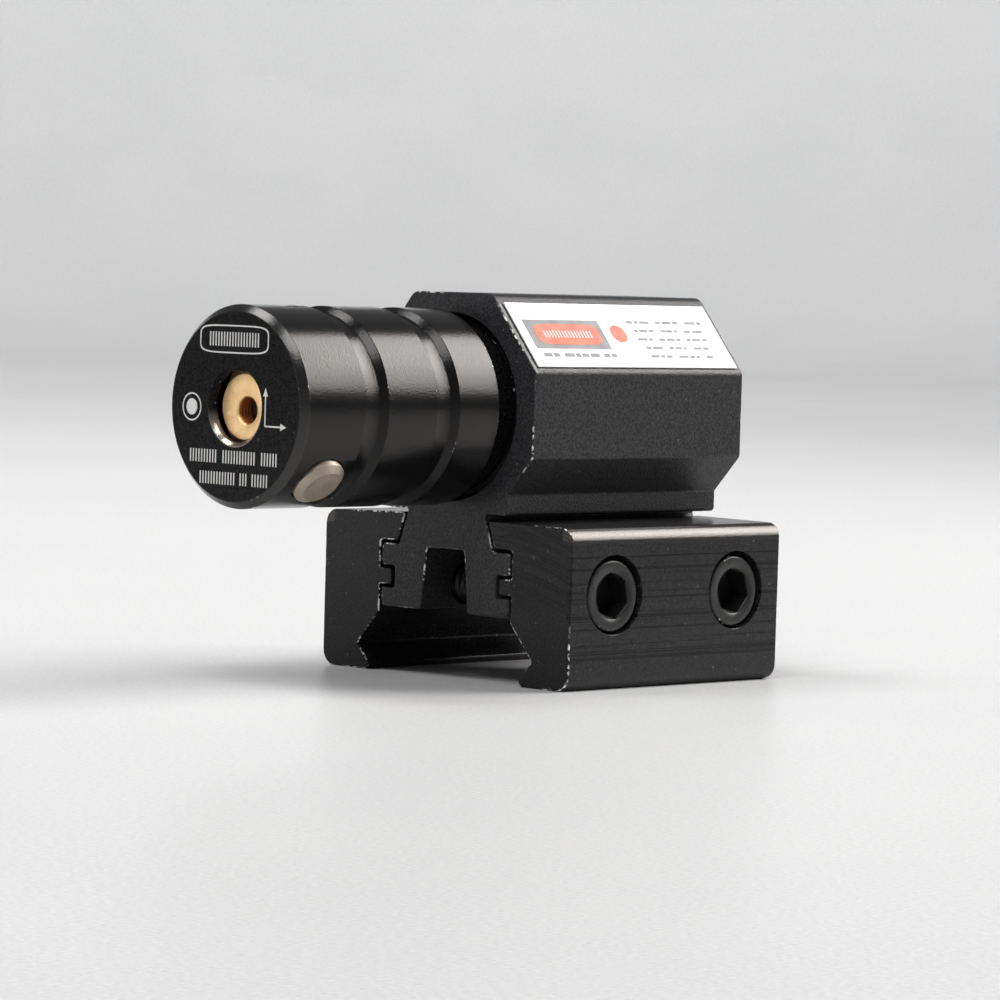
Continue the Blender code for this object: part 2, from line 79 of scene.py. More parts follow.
# ---- outlines and profiles -----------------------------------------------------------
def rounded(corners, arc=6, inset=0.0, closed=True):
    """Points along an outline of (u, v, radius) corners, each replaced by an arc.

    The outline runs clockwise round its solid. A positive inset moves every side
    inward, so the arcs of outer corners shrink and those of inner corners grow.
    """
    count = len(corners)
    sharp = [Vector(c[:2]) for c in corners]
    points = []
    for i, here in enumerate(sharp):
        radius = corners[i][2]
        if not closed and i in (0, count - 1):
            points.append(here.copy())
            continue
        before = (here - sharp[i - 1]).normalized()
        after = (sharp[(i + 1) % count] - here).normalized()
        turn = before.x * after.y - before.y * after.x
        if abs(turn) < 1e-3 or radius == 0.0 and not inset:
            points.append(here.copy())
            continue
        inner = turn > 0.0
        half = math.acos(max(-1.0, min(1.0, -before.dot(after)))) / 2.0
        bisector = (after - before).normalized()
        if inset:
            shift = inset / math.sin(half)
            here = here + bisector * (-shift if inner else shift)
            radius = radius + inset if inner else max(radius - inset, 0.01 * MM)
        reach = radius / math.tan(half)
        start = here - before * reach
        end = here + after * reach
        centre = here + bisector * (radius / math.sin(half))
        first = start - centre
        sweep = first.angle_signed(end - centre) if radius else 0.0
        for k in range(arc + 1):
            angle = -sweep * k / arc
            c, s = math.cos(angle), math.sin(angle)
            points.append(centre + Vector((first.x * c - first.y * s,
                                           first.x * s + first.y * c)))
    return points


def in_mm(corners):
    return [(u * MM, v * MM, radius * MM) for u, v, radius in corners]


def mirrored(corners):
    return [(-u, v, radius) for u, v, radius in reversed(corners)]


# ---- mesh builders -------------------------------------------------------------------
def to_object(name, bm, mat=None, sharp=28.0, weighted=True):
    mesh = bpy.data.meshes.new(name)
    bmesh.ops.recalc_face_normals(bm, faces=bm.faces)
    bm.to_mesh(mesh)
    bm.free()
    ob = bpy.data.objects.new(name, mesh)
    bpy.context.scene.collection.objects.link(ob)
    if mat is not None:
        mesh.materials.append(mat)
    smooth(ob, sharp, weighted)
    return ob


def smooth(ob, sharp=28.0, weighted=True):
    """Smooth shading with sharp edges kept, and normals weighted to the large faces."""
    ob.data.shade_smooth()
    ob.data.set_sharp_from_angle(angle=math.radians(sharp))
    if weighted and "weighted" not in ob.modifiers:
        mod = ob.modifiers.new("weighted", "WEIGHTED_NORMAL")
        mod.keep_sharp = True
        mod.weight = 60


def carve(ob, *cutters):
    """Cut solids out of a piece for good, then remove the cutters."""
    ob.modifiers.clear()
    for cutter in cutters:
        mod = ob.modifiers.new("carve", "BOOLEAN")
        mod.operation = "DIFFERENCE"
        mod.object = cutter
        mod.solver = "EXACT"
    graph = bpy.context.evaluated_depsgraph_get()
    mesh = bpy.data.meshes.new_from_object(ob.evaluated_get(graph))
    ob.modifiers.clear()
    old = ob.data
    ob.data = mesh
    mesh.name = old.name
    bpy.data.meshes.remove(old)
    for cutter in cutters:
        bpy.data.objects.remove(cutter, do_unlink=True)
    smooth(ob)


def circle(radius, height, sides, spin=0.0):
    """Points round local Z."""
    angles = [2.0 * math.pi * k / sides + spin for k in range(sides)]
    return [Vector((radius * math.cos(a), radius * math.sin(a), height)) for a in angles]


def bridge(bm, a, b):
    """Faces between two loops of equal length."""
    count = len(a)
    pairs = [(i, (i + 1) % count) for i in range(count)]
    return [bm.faces.new((a[i], a[j], b[j], b[i])) for i, j in pairs]


def prism(name, corners, y_from, y_to, mat, edge=END_EDGE, steps=3, spans=5):
    """Extrude an outline in X and Z along Y in several spans, its end edges rounded.

    The attribute "edge" marks the rounded faces, where the finish chips.
    """
    bm = bmesh.new()
    worn = bm.faces.layers.float.new("edge")
    rings = []
    for k in range(steps + 1):
        angle = math.pi / 2.0 * k / steps
        rings.append((y_from + edge * (1.0 - math.cos(angle)), edge * (1.0 - math.sin(angle))))
    tail = [(y_to - (y - y_from), inset) for y, inset in reversed(rings)]
    between = [(y_from + (y_to - y_from) * (k + 0.1) / spans, 0.0) for k in range(1, spans)]
    loops = []
    for y, inset in rings + between + tail:
        outline = rounded(corners, inset=inset)
        loops.append([bm.verts.new((p.x, y, p.y)) for p in outline])
    for a, b in zip(loops, loops[1:]):
        straight = abs(a[0].co.y - b[0].co.y) > 2.0 * edge
        for face in bridge(bm, a, b):
            face[worn] = 0.0 if straight else 1.0
    bm.faces.new(loops[0])
    bm.faces.new(list(reversed(loops[-1])))
    return to_object(name, bm, mat)


def lathe_matrix(centre, direction):
    """Local +Z along direction, with the local origin on centre."""
    turn = Vector((0, 0, 1)).rotation_difference(Vector(direction).normalized())
    return Matrix.Translation(centre) @ turn.to_matrix().to_4x4()


def turned(name, profile, mat, centre, direction=(0, 1, 0), steps=128, shape=None, arc=3):
    """Revolve a profile of (radius, height, corner radius) points round an axis.

    shape(radius, height, angle) may change the radius, for a thread or a knurl.
    A profile that starts on the axis ends on it too, any other is a ring. The
    attribute "edge" marks the narrow bands, where the finish chips.
    """
    narrow = 0.09 * MM
    solid = profile[0][0] == 0.0
    points = rounded(profile, arc, closed=not solid)
    count = len(points)
    bm = bmesh.new()
    worn = bm.faces.layers.float.new("edge")
    place = lathe_matrix(centre, direction)
    columns = []
    for s in range(steps):
        angle = 2.0 * math.pi * s / steps
        column = []
        for p in points:
            if p.x < 1e-9:
                column.append(None)
                continue
            radius = shape(p.x, p.y, angle) if shape else p.x
            at = Vector((radius * math.cos(angle), radius * math.sin(angle), p.y))
            column.append(bm.verts.new(place @ at))
        columns.append(column)
    poles = [bm.verts.new(place @ Vector((0, 0, p.y))) if p.x < 1e-9 else None for p in points]
    pairs = list(zip(range(count), range(1, count)))
    if not solid:
        pairs.append((count - 1, 0))
    for i, j in pairs:
        length = (points[i] - points[j]).length
        for s in range(steps):
            a, b = columns[s], columns[(s + 1) % steps]
            corners = [a[i] or poles[i], a[j] or poles[j], b[j] or poles[j], b[i] or poles[i]]
            ring = []
            for v in corners:
                if v not in ring:
                    ring.append(v)
            if len(ring) > 2:
                face = bm.faces.new(ring)
                face[worn] = 1.0 if length < narrow else 0.0
    return to_object(name, bm, mat)


def rod(name, radius, centre, direction, length, sides=64, chamfer=0.0, spin=0.0):
    """Cylinder or hexagon cutter from centre along direction, its far end flared.

    A flared cutter is longer than its length by the chamfer, to clear the surface.
    """
    bm = bmesh.new()
    bm.faces.layers.float.new("edge")
    place = lathe_matrix(centre, direction)
    stations = [(0.0, radius), (length, radius)]
    if chamfer:
        stations = [(0.0, radius), (length - chamfer, radius),
                    (length + chamfer, radius + 2 * chamfer)]
    loops = [[bm.verts.new(place @ at) for at in circle(r, height, sides, spin)]
             for height, r in stations]
    for a, b in zip(loops, loops[1:]):
        bridge(bm, a, b)
    bm.faces.new(loops[0])
    bm.faces.new(loops[-1])
    return to_object(name, bm, weighted=False)


def keep(piece, body, *nodes, slot=None):
    """A finished piece: it rides on a body and stands for CAD nodes."""
    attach(piece, body)
    if nodes:
        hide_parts(*nodes)


# ---- materials -----------------------------------------------------------------------
class Shader:
    """A Principled material and short ways to add nodes to it."""

    def __init__(self, name):
        self.mat = bpy.data.materials.new(name)
        self.mat.use_nodes = True
        self.tree = self.mat.node_tree
        self.bsdf = self.tree.nodes["Principled BSDF"]
        self.coords = self.add("ShaderNodeTexCoord").outputs["Object"]

    def add(self, kind, **settings):
        node = self.tree.nodes.new(kind)
        for key, value in settings.items():
            setattr(node, key, value)
        return node

    def put(self, socket, value):
        if isinstance(value, bpy.types.NodeSocket):
            self.tree.links.new(value, socket)
        else:
            socket.default_value = value

    def maths(self, operation, a, b=0.0):
        node = self.add("ShaderNodeMath", operation=operation)
        for socket, value in zip(node.inputs, (a, b)):
            self.put(socket, value)
        return node.outputs[0]

    def stretched(self, scale):
        node = self.add("ShaderNodeMapping")
        self.put(node.inputs["Vector"], self.coords)
        node.inputs["Scale"].default_value = scale
        return node.outputs[0]

    def axes(self):
        node = self.add("ShaderNodeSeparateXYZ")
        self.put(node.inputs[0], self.coords)
        return node.outputs

    def radial(self, across, up, at_across, at_up):
        """Distance from a line along Y."""
        a = self.maths("SUBTRACT", across, at_across)
        b = self.maths("SUBTRACT", up, at_up)
        total = self.maths("ADD", self.maths("MULTIPLY", a, a), self.maths("MULTIPLY", b, b))
        return self.maths("SQRT", total)

    def product(self, *values):
        result = values[0]
        for value in values[1:]:
            result = self.maths("MULTIPLY", result, value)
        return result

    def noise(self, scale, detail=3.0, rough=0.5, vector=None):
        node = self.add("ShaderNodeTexNoise")
        self.put(node.inputs["Vector"], vector if vector is not None else self.coords)
        node.inputs["Scale"].default_value = scale
        node.inputs["Detail"].default_value = detail
        node.inputs["Roughness"].default_value = rough
        return node.outputs["Fac"]

    def ramp(self, fac, low, high, a=0.0, b=1.0):
        node = self.add("ShaderNodeMapRange")
        node.interpolation_type = "SMOOTHSTEP"
        for key, value in zip(("Value", "From Min", "From Max", "To Min", "To Max"),
                              (fac, low, high, a, b)):
            self.put(node.inputs[key], value)
        return node.outputs[0]

    def mix(self, fac, a, b):
        node = self.add("ShaderNodeMix", data_type="RGBA")
        self.put(node.inputs[0], fac)
        for socket, value in ((node.inputs[6], a), (node.inputs[7], b)):
            if not isinstance(value, bpy.types.NodeSocket):
                value = (*value, 1.0)
            self.put(socket, value)
        return node.outputs[2]

    def bump(self, height, distance, normal=None):
        node = self.add("ShaderNodeBump")
        node.inputs["Distance"].default_value = distance
        self.put(node.inputs["Height"], height)
        if normal is not None:
            self.put(node.inputs["Normal"], normal)
        return node.outputs[0]

    def edge(self):
        """1 on the faces where the finish chips."""
        return self.add("ShaderNodeAttribute", attribute_name="edge").outputs["Fac"]

    def finish(self, **values):
        """Set or link the shader's sockets by name, with _ for a space."""
        for key, value in values.items():
            self.put(self.bsdf.inputs[key.replace("_", " ")], value)
        return self.mat


def anodised(name, colour, rough, grain, lift, wear, shine, fleck=0.4, tooling=None):
    """Black anodised aluminium: a grain, stray specks, chips on the edges.

    wear is the noise level above which an edge is chipped. tooling adds marks and
    returns the base, the normal, the areas that shine more, the barrel's painted
    reflection among them, and the tone that they shine with.
    """
    s = Shader(name)
    fine = s.noise(grain, 2.0)
    cloud = s.noise(220.0, 4.0)
    specks = s.ramp(s.noise(2400.0, 1.0), 0.735, 0.78)
    chips = s.ramp(s.noise(2600.0, 4.0, 0.6), wear, wear + 0.06)
    chips = s.product(chips, s.ramp(s.noise(190.0, 2.0), 0.47, 0.60), s.edge())
    base = s.mix(s.ramp(fine, 0.36, 0.64), tuple(c * (1.0 - fleck) for c in colour),
                 tuple(c * (1.0 + fleck) for c in colour))
    base = s.mix(s.maths("MULTIPLY", specks, 0.5), base, (0.13, 0.125, 0.12))
    normal = s.bump(fine, lift)
    metallic = s.maths("MULTIPLY", chips, 0.35)
    if tooling is not None:
        # with the barrel's tooling these areas include a painted reflection on the window's lower
        # wall
        base, normal, rubbed_and_sheen, tone = tooling(s, base, normal)
        base = s.mix(rubbed_and_sheen, base, tone)
        metallic = s.maths("MAXIMUM", metallic, s.maths("MULTIPLY", rubbed_and_sheen, 0.8))
    base = s.mix(chips, base, (0.80, 0.785, 0.76))
    roughness = s.ramp(cloud, 0.3, 0.7, rough - 0.015, rough + 0.015)
    roughness = s.maths("SUBTRACT", roughness, s.maths("MULTIPLY", chips, 0.1))
    return s.finish(Base_Color=base, Roughness=roughness, Metallic=metallic, Normal=normal,
                    Specular_IOR_Level=shine)


def jaw_tooling(s, base, normal):
    """Cutter lines along the outer sides, arcs on the right jaw's front, a rubbed corner."""
    x, y, z = s.axes()
    outward = s.maths("ABSOLUTE", x)
    side = s.product(s.ramp(outward, 15.6 * MM, 15.9 * MM), s.ramp(z, 1.9 * MM, 2.1 * MM),
                     s.ramp(z, 13.6 * MM, 13.0 * MM))
    streaks = s.noise(1.0, 3.0, 0.55, s.stretched((20.0, 8.0, 3000.0)))
    lines = s.product(s.ramp(streaks, 0.52, 0.60), side)
    base = s.mix(s.maths("MULTIPLY", lines, 0.9), base, (0.001, 0.001, 0.001))
    normal = s.bump(s.maths("MULTIPLY", lines, -1.0), 0.000003, normal=normal)
    front = s.product(s.ramp(y, JAW_LOW.y + 0.2 * MM, JAW_LOW.y + 0.1 * MM),
                      s.ramp(z, 6.0 * MM, 9.0 * MM), s.ramp(x, 5.0 * MM, 6.0 * MM))
    sweep = s.add("ShaderNodeCombineXYZ")
    s.put(sweep.inputs[0], s.maths("MULTIPLY", s.radial(x, z, 3.0 * MM, -24.0 * MM), 3600.0))
    s.put(sweep.inputs[1], s.maths("MULTIPLY", x, 120.0))
    arcs = s.product(s.ramp(s.noise(1.0, 2.0, 0.5, sweep.outputs[0]), 0.46, 0.60), front)
    base = s.mix(s.maths("MULTIPLY", arcs, 0.6), base, (0.003, 0.003, 0.003))
    normal = s.bump(s.maths("MULTIPLY", arcs, -1.0), 0.000012, normal=normal)
    rubbed_and_sheen = s.product(s.ramp(outward, 14.75 * MM, 15.1 * MM), s.ramp(z, 13.2 * MM, 13.7 * MM))
    return base, normal, rubbed_and_sheen, (0.047, 0.0441, 0.0423)


def body_tooling(s, base, normal):
    """The rounded edges under the label, and opposite it, are rubbed a little."""
    x, _, z = s.axes()
    outward = s.maths("ABSOLUTE", x)
    low = s.product(s.ramp(outward, 10.1 * MM, 10.5 * MM), s.ramp(z, 27.9 * MM, 28.3 * MM))
    rubbed_and_sheen = s.maths("MULTIPLY", low, 0.45)
    return base, normal, rubbed_and_sheen, (0.040, 0.039, 0.038)


def barrel_tooling(s, base, normal):
    """Turned sides shine more than the face and the rim's chamfer most; the lower half of the
    window's wall gets a pale bronze tone, a painted reflection.
    """
    x, y, z = s.axes()
    radius = s.radial(x, z, 0.0, AXIS_Z)
    rim = s.ramp(y, FACE_Y + 0.75 * MM, FACE_Y + 0.60 * MM)
    # painted reflection: the lower half of the window's inner wall is given a pale bronze tone
    window = s.product(s.ramp(radius, 3.62 * MM, 3.52 * MM), s.ramp(z, AXIS_Z, AXIS_Z - 1.6 * MM))
    rubbed_and_sheen = s.maths("MAXIMUM", s.ramp(radius, 8.30 * MM, 8.42 * MM), window)
    tone = s.mix(rim, (0.0225, 0.0220, 0.0216), (0.047, 0.046, 0.045))
    # pale bronze (0.26, 0.235, 0.20) is the colour of that painted reflection in the window
    return base, normal, rubbed_and_sheen, s.mix(window, tone, (0.26, 0.235, 0.20))


def metal(name, colour, rough, lines=None, lift=0.000004, grain=3000.0, metallic=1.0):
    """Bare or plated metal with fine marks of the cutting tool."""
    s = Shader(name)
    cloud = s.noise(700.0, 4.0)
    base = s.mix(s.ramp(cloud, 0.3, 0.75), tuple(c * 0.80 for c in colour), colour)
    marks = s.noise(1.0, 3.0, 0.6, s.stretched(lines)) if lines else s.noise(grain, 2.0)
    roughness = s.ramp(s.noise(1400.0, 3.0), 0.3, 0.75, rough - 0.06, rough + 0.08)
    return s.finish(Base_Color=base, Roughness=roughness, Metallic=metallic,
                    Normal=s.bump(marks, lift))


def moulded(name, colour, rough, grain=2500.0, lift=0.000006, coat=0.0):
    """Plastic, rubber or printed film with a fine grain."""
    s = Shader(name)
    base = s.mix(s.ramp(s.noise(500.0, 3.0), 0.3, 0.7), tuple(c * 0.88 for c in colour), colour)
    roughness = s.ramp(s.noise(900.0, 2.0), 0.3, 0.7, rough - 0.03, rough + 0.05)
    s.bsdf.inputs["Coat Weight"].default_value = coat
    s.bsdf.inputs["Coat Roughness"].default_value = 0.12
    return s.finish(Base_Color=base, Roughness=roughness, Normal=s.bump(s.noise(grain, 2.0), lift))


def lens_glass():
    """Coated glass with a slight haze."""
    s = Shader("coated_glass")
    s.bsdf.inputs["IOR"].default_value = 1.52
    s.bsdf.inputs["Transmission Weight"].default_value = 0.9
    haze = s.ramp(s.noise(900.0, 2.0), 0.4, 0.7, 0.02, 0.06)
    return s.finish(Base_Color=(0.86, 0.80, 0.90, 1.0), Roughness=haze)


body_black = anodised("blasted_black", (0.0268, 0.0268, 0.0290), 0.29, 5000.0, 0.00004,
                      wear=0.50, shine=0.12, tooling=body_tooling)
barrel_black = anodised("turned_black", (0.0062, 0.0060, 0.0062), 0.18, 5200.0, 0.000014,
                        wear=0.61, shine=0.05, fleck=0.6, tooling=barrel_tooling)
jaw_black = anodised("milled_black", (0.0125, 0.0125, 0.0136), 0.21, 5600.0, 0.00002,
                     wear=0.50, shine=0.13, tooling=jaw_tooling)
screw_black = anodised("oxide_black", (0.008, 0.008, 0.008), 0.32, 3500.0, 0.000008, wear=0.62,
                       shine=0.28)
brass = metal("pale_brass", (0.95, 0.64, 0.32), 0.42, lines=(900.0, 900.0, 900.0), metallic=0.45)
steel = metal("bare_plug", (0.39, 0.335, 0.275), 0.54, lines=(2500.0, 500.0, 2500.0))
bare_edge = metal("bare_aluminium", (0.17, 0.165, 0.16), 0.6, grain=2600.0, lift=0.00004,
                  metallic=0.5)
wire = metal("spring_wire", (0.55, 0.55, 0.55), 0.28)
nickel = metal("nickel_case", (0.70, 0.69, 0.66), 0.24)
rubber = moulded("black_rubber", (0.018, 0.018, 0.019), 0.62)
nylon = moulded("natural_nylon", (0.76, 0.73, 0.66), 0.5)
pale_plastic = moulded("sleeve_plastic", (0.70, 0.70, 0.68), 0.45)
dark_plastic = moulded("switch_plastic", (0.035, 0.035, 0.035), 0.42)
green_board = moulded("solder_mask", (0.02, 0.13, 0.05), 0.3, coat=0.3)
film = moulded("label_film", (0.90, 0.90, 0.90), 0.46, grain=900.0, lift=0.000004)
grey_ink = moulded("grey_ink", (0.16, 0.16, 0.168), 0.5)
coral_ink = moulded("coral_ink", (0.52, 0.085, 0.022), 0.5)
white_ink = moulded("white_ink", (0.60, 0.59, 0.58), 0.6)
glass = lens_glass()


# ---- flat printed marks --------------------------------------------------------------
class Marks:
    """Thin printed shapes on a plane, gathered into one piece."""

    def __init__(self, origin, right, up, thickness=FILM):
        self.origin = Vector(origin)
        self.right = Vector(right).normalized()
        self.up = Vector(up).normalized()
        self.out = self.right.cross(self.up)
        self.thickness = thickness
        self.bm = bmesh.new()

    def solid(self, outline, hole=None):
        """Raise a flat shape, or the band between two outlines of equal length."""
        layers = []
        for height in (0.0, self.thickness):
            for ring in ([outline] if hole is None else [outline, hole]):
                base = self.origin + self.out * height
                layers.append([
                    self.bm.verts.new(base + self.right * (u * MM) + self.up * (v * MM))
                    for u, v in ring])
        if hole is None:
            low, high = layers
            self.bm.faces.new(high)
            self.bm.faces.new(list(reversed(low)))
            walls = ((low, high),)
        else:
            low, low_hole, high, high_hole = layers
            bridge(self.bm, high, high_hole)
            bridge(self.bm, low_hole, low)
            walls = ((low, high), (high_hole, low_hole))
        for a, b in walls:
            bridge(self.bm, a, b)

    def block(self, u, v, width, height):
        left, right = u - width / 2, u + width / 2
        low, high = v - height / 2, v + height / 2
        self.solid([(left, low), (right, low), (right, high), (left, high)])

    def row(self, u, v, widths, height, gap):
        """Evenly spaced plain blocks, centred on (u, v); a negative width is a space."""
        total = sum(abs(w) for w in widths) + gap * (len(widths) - 1)
        at = u - total / 2.0
        for w in widths:
            if w > 0:
                self.block(at + w / 2.0, v, w, height)
            at += abs(w) + gap

    def lozenge(self, u, v, half_width, half_height, line=None, sides=96, power=2.0):
        """An ellipse, or with more power a rounded rectangle; filled, or a line."""
        def ring(a, b):
            points = []
            for k in range(sides):
                angle = 2.0 * math.pi * k / sides
                c, s = math.cos(angle), math.sin(angle)
                x = math.copysign(abs(c) ** (2.0 / power), c)
                y = math.copysign(abs(s) ** (2.0 / power), s)
                points.append((u + a * x, v + b * y))
            return points
        if line is None:
            self.solid(ring(half_width, half_height))
        else:
            self.solid(ring(half_width, half_height), ring(half_width - line, half_height - line))

    def arrow(self, u, v, along, length, line, head):
        """Straight arrow from (u, v); along is 0 for right and 90 degrees for up."""
        c, s = math.cos(math.radians(along)), math.sin(math.radians(along))
        neck = length - head
        shaft = ((0, -line / 2), (neck, -line / 2), (neck, line / 2), (0, line / 2))
        tip = ((neck, -head * 0.42), (length, 0), (neck, head * 0.42))
        for shape in (shaft, tip):
            self.solid([(u + r * c - t * s, v + r * s + t * c) for r, t in shape])

    def piece(self, name, mat):
        return to_object(name, self.bm, mat, weighted=False)


# ---- housing -------------------------------------------------------------------------
def make_housing():
    half = in_mm([
        (*TOP_CORNER, 1.35), (*SIDE_CORNER, 0.95), (10.87, 20.7, 0.6), (7.8, 17.3, 0.45),
        (7.8, 15.35, 0.4), (4.95, 15.41, 0.3), (6.15, 12.0, 0.3), (8.35, 12.0, 0.4),
        (8.35, 9.95, 0.22), (6.65, 9.95, 0.3), (6.65, 7.85, 0.3), (8.35, 7.85, 0.22),
        (8.35, 6.1, 0.55), (3.05, 6.1, 0.35), (2.45, 11.92, 0.35)])
    body = prism("housing_shell", half + mirrored(half), FRONT_Y, REAR_Y, body_black)
    bore = turned("bore_cutter", in_mm([
        (0, 31.0, 0), (8.9, 31.0, 0), (8.9, 27.0, 0.1), (7.9, 27.0, 0.1), (7.9, 24.4, 0.1),
        (6.9, 24.4, 0.1), (6.9, 6.9, 0.1), (8.6, 6.9, 0.1), (8.6, 0.12, 0.05),
        (8.74, -0.02, 0.01), (8.74, -1.0, 0), (0, -1.0, 0)]), None,
        centre=(0, FRONT_Y, AXIS_Z), steps=160)
    holes = []
    for node in CLAMP_SCREWS:
        at = middle(node)
        holes.append(rod(node + "_way", CLAMP_HOLE, (-9.5 * MM, at.y, at.z), (1, 0, 0),
                         19.0 * MM))
    carve(body, bore, *holes)
    keep(body, "frame", "housing", slot="black_extrusion")


# ---- barrel --------------------------------------------------------------------------
def on_axis(node):
    """The point of the barrel's axis that is level with a node."""
    return Vector((0, middle(node).y, AXIS_Z))


def make_barrel():
    profile = in_mm([
        (8.3, 5.5, 0.2), (8.3, 0.9, 0.1), (7.8, 0.7, 0.1), (7.8, -2.45, 0.15),
        (9.0, -2.45, 0.14), (9.0, -7.47, 0.12), (8.42, -8.05, 0.12), (8.42, -10.18, 0.10),
        (9.0, -10.18, 0.10), (9.0, -16.22, 0.12), (8.42, -16.80, 0.12), (8.42, -18.97, 0.10),
        (9.0, -18.97, 0.10), (9.0, -25.72, 0.10), (8.40, -26.32, 0.07), (3.50, -26.32, 0.05),
        (3.18, -26.00, 0.06), (3.18, -25.50, 0.06), (6.0, -25.50, 0.2), (6.0, 5.5, 0.2)])
    barrel = turned("barrel_shell", profile, barrel_black, centre=(0, FRONT_Y, AXIS_Z),
                    steps=224)
    slant = Vector((1, 0, -1)).normalized()
    cutters = [rod("plug_way", 2.60 * MM, on_axis("plunger_plug") + slant * 4.0 * MM, slant,
                   7.0 * MM, sides=96)]
    for tag, out in ADJUSTERS:
        node = tag + "_screw"
        start = on_axis(node) + out * 4.0 * MM
        cutters.append(rod(node + "_way", 1.45 * MM, start, out, 4.86 * MM, chamfer=0.12 * MM))
    carve(barrel, *cutters)
    keep(barrel, "frame", "front_barrel", slot="black_turned")

    face = Marks((0, FACE_Y - 0.002 * MM, AXIS_Z), (1, 0, 0), (0, 0, 1))
    tick, gap = 0.15, 0.22
    face.lozenge(-0.3, 5.9, 4.5, 1.25, line=0.13, power=5.0)
    face.row(-0.3, 5.9, [tick] * 18, 1.25, gap)
    face.lozenge(-5.7, -0.2, 1.25, 1.25, line=0.13)
    face.lozenge(-5.7, -0.2, 0.72, 0.72)
    face.arrow(3.96, -1.55, 90, 3.35, 0.14, 0.75)
    face.arrow(3.96, -1.55, 0, 2.75, 0.14, 0.75)
    face.row(-0.1, -4.45, [tick] * 10 + [-0.4] + [tick] * 12 + [-0.4] + [tick] * 6, 1.15, gap)
    face.row(0.0, -6.35, [tick] * 13 + [-0.25] + [tick] * 3 + [-0.25] + [tick] * 6, 1.1, gap)
    keep(face.piece("face_marks", white_ink), "frame", slot="black_turned")


# ---- screws, plug and pads in the barrel ---------------------------------------------
def make_adjusters():
    for tag, out in ADJUSTERS:
        node = tag + "_screw"
        foot = on_axis(node)
        screw = turned(node + "_fine", in_mm([
            (0, 8.2, 0), (1.0, 8.2, 0.05), (1.15, 8.05, 0.05), (1.15, 6.35, 0.05),
            (1.0, 6.2, 0.05), (0, 6.2, 0)]), screw_black, centre=foot, direction=out, steps=64)
        carve(screw, rod(tag + "_key", 0.72 * MM, foot + out * 6.9 * MM, out, 1.4 * MM, sides=6,
                         chamfer=0.08 * MM))
        keep(screw, node, node, slot="blackened_steel")


def make_plug():
    plug = turned("plug_fine", in_mm([
        (0, 9.60, 0), (1.80, 9.60, 0.06), (2.44, 9.12, 0.08), (2.44, 6.3, 0.1), (2.0, 6.3, 0.1),
        (2.0, 8.6, 0.1), (0, 8.6, 0)]), steel, centre=on_axis("plunger_plug"),
        direction=(1, 0, -1), steps=96)
    keep(plug, "frame", "plunger_plug", slot="bare_steel")


# ---- laser module's nose -------------------------------------------------------------
def thread(pitch, depth):
    """A helical change of radius, as turned() takes it."""
    def shape(radius, height, angle):
        phase = (height / pitch + angle / (2.0 * math.pi)) % 1.0
        return radius - depth * (1.0 - abs(2.0 * phase - 1.0))
    return shape


def threaded_rod(name, radius, length, pitch, depth, mat, centre, direction, steps=48):
    """Rod with a true helical thread over its whole length."""
    rows = int(length / pitch * 6)
    profile = [(0.0, length, 0.0)]
    profile += [(radius, length * (1.0 - k / rows), 0.0) for k in range(rows + 1)]
    profile.append((0.0, 0.0, 0.0))
    return turned(name, profile, mat, centre, direction, steps, thread(pitch, depth), arc=1)


def nose_brass(spot):
    """Brass with painted shade down inside the aperture, darker, redder and more metallic there.
    """
    s = Shader("nose_brass")
    x, y, z = s.axes()
    base = s.mix(s.ramp(s.noise(700.0, 4.0), 0.3, 0.75), (0.86, 0.57, 0.27), (1.0, 0.70, 0.36))
    grain = s.noise(5200.0, 2.0)
    base = s.mix(s.ramp(grain, 0.55, 0.75, 0.0, 0.25), base, (0.45, 0.29, 0.13))
    # painted shade: the aperture's inside is darker and redder from 0.32 mm below its mouth
    within = s.ramp(s.radial(x, z, spot.x, spot.z), 1.30 * MM, 1.23 * MM)
    aperture_shade = s.product(within, s.ramp(y, spot.y + 0.32 * MM, spot.y + 0.50 * MM))
    base = s.mix(aperture_shade, base, (0.40, 0.145, 0.045))
    return s.finish(Base_Color=base, Roughness=0.42, Metallic=s.ramp(aperture_shade, 0.0, 1.0, 0.45, 0.9),
                    Normal=s.bump(grain, 0.00001))


def make_nose():
    """The lens holder's front; the threaded aperture is a little off its centre."""
    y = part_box("lens_holder")[0][1]
    spot = Vector((0.36 * MM, y - 0.3 * MM, AXIS_Z - 0.30 * MM))
    nose = turned("nose_fine", [
        (2.95 * MM, 7.2 * MM, 0), (2.95 * MM, 0.0, 0.1 * MM), (0.3 * MM, 0.0, 0),
        (0.3 * MM, 1.5 * MM, 0), (2.3 * MM, 1.5 * MM, 0), (2.3 * MM, 7.2 * MM, 0)],
        nose_brass(spot), centre=(0, y, AXIS_Z), steps=128)
    bore = threaded_rod("aperture_cutter", 1.20 * MM, 2.1 * MM, 0.35 * MM, 0.10 * MM, None,
                        spot, (0, 1, 0))
    rim = turned("aperture_rim", in_mm([
        (0, 0.0, 0), (1.50, 0.0, 0), (1.50, 0.17, 0), (1.15, 0.52, 0), (0, 0.52, 0)]), None,
        centre=spot, steps=64)
    carve(nose, bore, rim)
    keep(nose, "laser_module", "lens_holder", slot="brass")


# ---- jaws ----------------------------------------------------------------------------
def jaw_outline(crest):
    """Outline of the right jaw; crest is the height of its inner top corner."""
    return in_mm([
        (5.45, crest, 0.25), (16.17, 14.72, 1.35), (16.12, 0.0, 1.5), (10.25, 0.0, 0.35),
        (9.72, 0.55, 0.28), (11.45, 2.4, 0.2), (8.65, 5.6, 0.25), (8.65, 8.15, 0.22),
        (7.1, 8.15, 0.3), (7.1, 9.65, 0.3), (8.65, 9.65, 0.22), (8.65, 12.3, 0.35),
        (6.36, 12.3, 0.35)])


